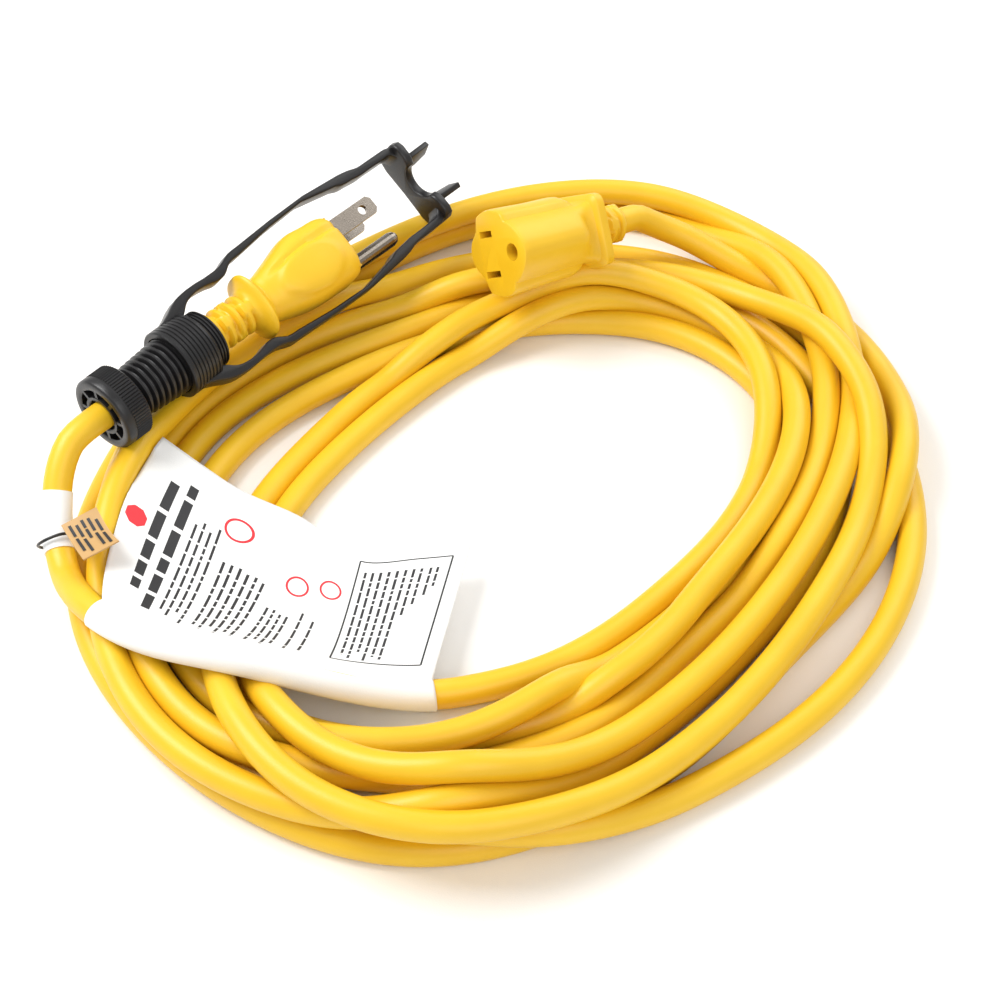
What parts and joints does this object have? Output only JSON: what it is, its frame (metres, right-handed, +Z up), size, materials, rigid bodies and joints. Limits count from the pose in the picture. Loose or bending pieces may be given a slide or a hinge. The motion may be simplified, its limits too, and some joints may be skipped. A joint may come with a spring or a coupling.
{
  "type": "extension cord",
  "caption": "Coiled round yellow three-wire extension cord with a grounded plug, a grounded connector, a black plug lock that clamps on the cord, and a flag label.",
  "frame": {"origin": "on the floor, under the middle of the whole coiled cord", "axes": "+X along the plug lock, from its gland nut to its end wall; +Z up from the floor"},
  "size_m": [0.283, 0.2346, 0.0522],
  "materials": {
    "cord_yellow": "soft matte flexible PVC",
    "lock_black": "satin moulded nylon",
    "blade_metal": "polished nickel-plated brass",
    "contact_brass": "plain brass strip",
    "insert_white": "moulded nylon",
    "wire_black": "PVC insulation",
    "wire_white": "PVC insulation",
    "wire_green": "PVC insulation",
    "label_white": "thin coated film",
    "tag_tan": "printed film"
  },
  "bodies": {
    "cord": {"plug_body": "cord_yellow", "plug_blade_carrier": "insert_white", "plug_blade_line": "blade_metal", "plug_blade_neutral": "blade_metal", "plug_ground_pin": "blade_metal", "plug_wire_black": "wire_black", "plug_wire_white": "wire_white", "plug_wire_green": "wire_green", "connector_body": "cord_yellow", "connector_contact_carrier": "insert_white", "connector_contact_line": "contact_brass", "connector_contact_neutral": "contact_brass", "connector_contact_ground": "contact_brass", "connector_wire_black": "wire_black", "connector_wire_white": "wire_white", "connector_wire_green": "wire_green", "cord_coil": "cord_yellow", "cord_lead_plug": "cord_yellow", "cord_lead_connector": "cord_yellow", "flag_label": "label_white", "cord_tag_wrap": "label_white", "cord_tag_flap": "tag_tan", "tag_tie": "wire_black"},
    "lock": {"plug_lock_cage": "lock_black", "plug_lock_sleeve": "lock_black"},
    "clamp_ring": {"gland_collet": "insert_white"},
    "nut": {"gland_nut": "lock_black"}
  },
  "joints": [
    {"name": "lock_slide", "type": "slide", "parent": "cord", "child": "lock", "axis": [1, 0, 0], "range_m": [0, 0.015]},
    {"name": "clamp_ring_slide", "type": "slide", "parent": "lock", "child": "clamp_ring", "axis": [-1, 0, 0], "range_m": [0, 0.0028]},
    {"name": "gland_nut_turn", "type": "hinge", "parent": "clamp_ring", "child": "nut", "pos_m": [-0.0772, 0.10105, 0.031], "axis": [-1, 0, 0], "range_deg": [0, 540]}
  ],
  "couplings": [
    {"joint": "clamp_ring_slide", "follows": "gland_nut_turn", "m_per_rad": 0.00027852}
  ]
}
